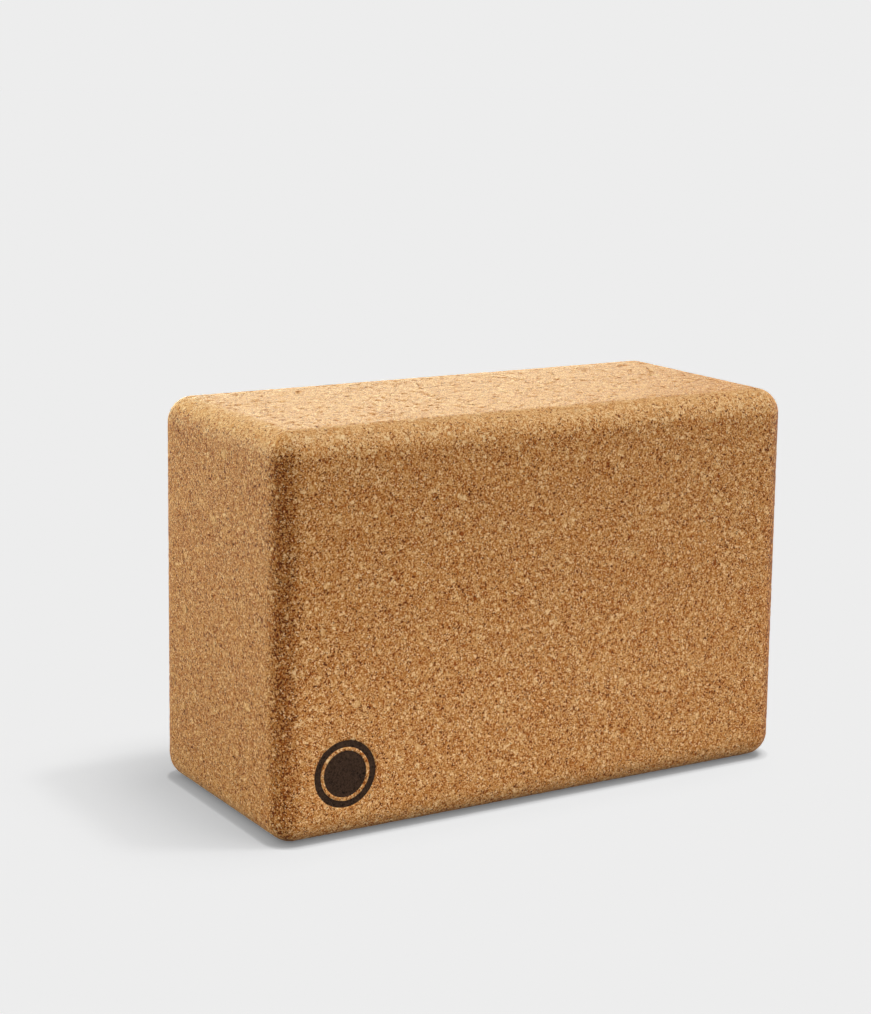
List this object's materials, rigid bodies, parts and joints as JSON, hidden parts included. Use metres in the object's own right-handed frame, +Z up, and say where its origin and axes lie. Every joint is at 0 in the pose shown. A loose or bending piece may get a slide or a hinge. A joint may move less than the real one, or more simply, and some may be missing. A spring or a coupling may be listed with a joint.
{
  "type": "yoga block",
  "caption": "Rectangular block of pressed cork with rounded edges and a plain scorched round mark, a support for hands, feet or seat in yoga.",
  "frame": {"origin": "middle of the base, the long narrow face on which the block stands", "axes": "+X along the length, +Y from the marked front face to the back, +Z up"},
  "size_m": [0.2286, 0.1016, 0.1524],
  "materials": {
    "cork": "sanded pressed cork, matt, granules of mixed browns",
    "cork_pale": "pale cork granule, matt",
    "cork_amber": "honey-coloured cork granule, matt",
    "cork_brown": "darker cork granule, matt",
    "cork_bark": "cork bark, nearly black, matt",
    "scorched_cork": "scorched cork, dark brown, matt"
  },
  "bodies": {
    "root": {"cork_block": "cork", "pale_granules": "cork_pale", "amber_granules": "cork_amber", "brown_granules": "cork_brown", "bark_granules": "cork_bark", "mark_rim": "scorched_cork", "mark_field": "scorched_cork"}
  },
  "joints": []
}
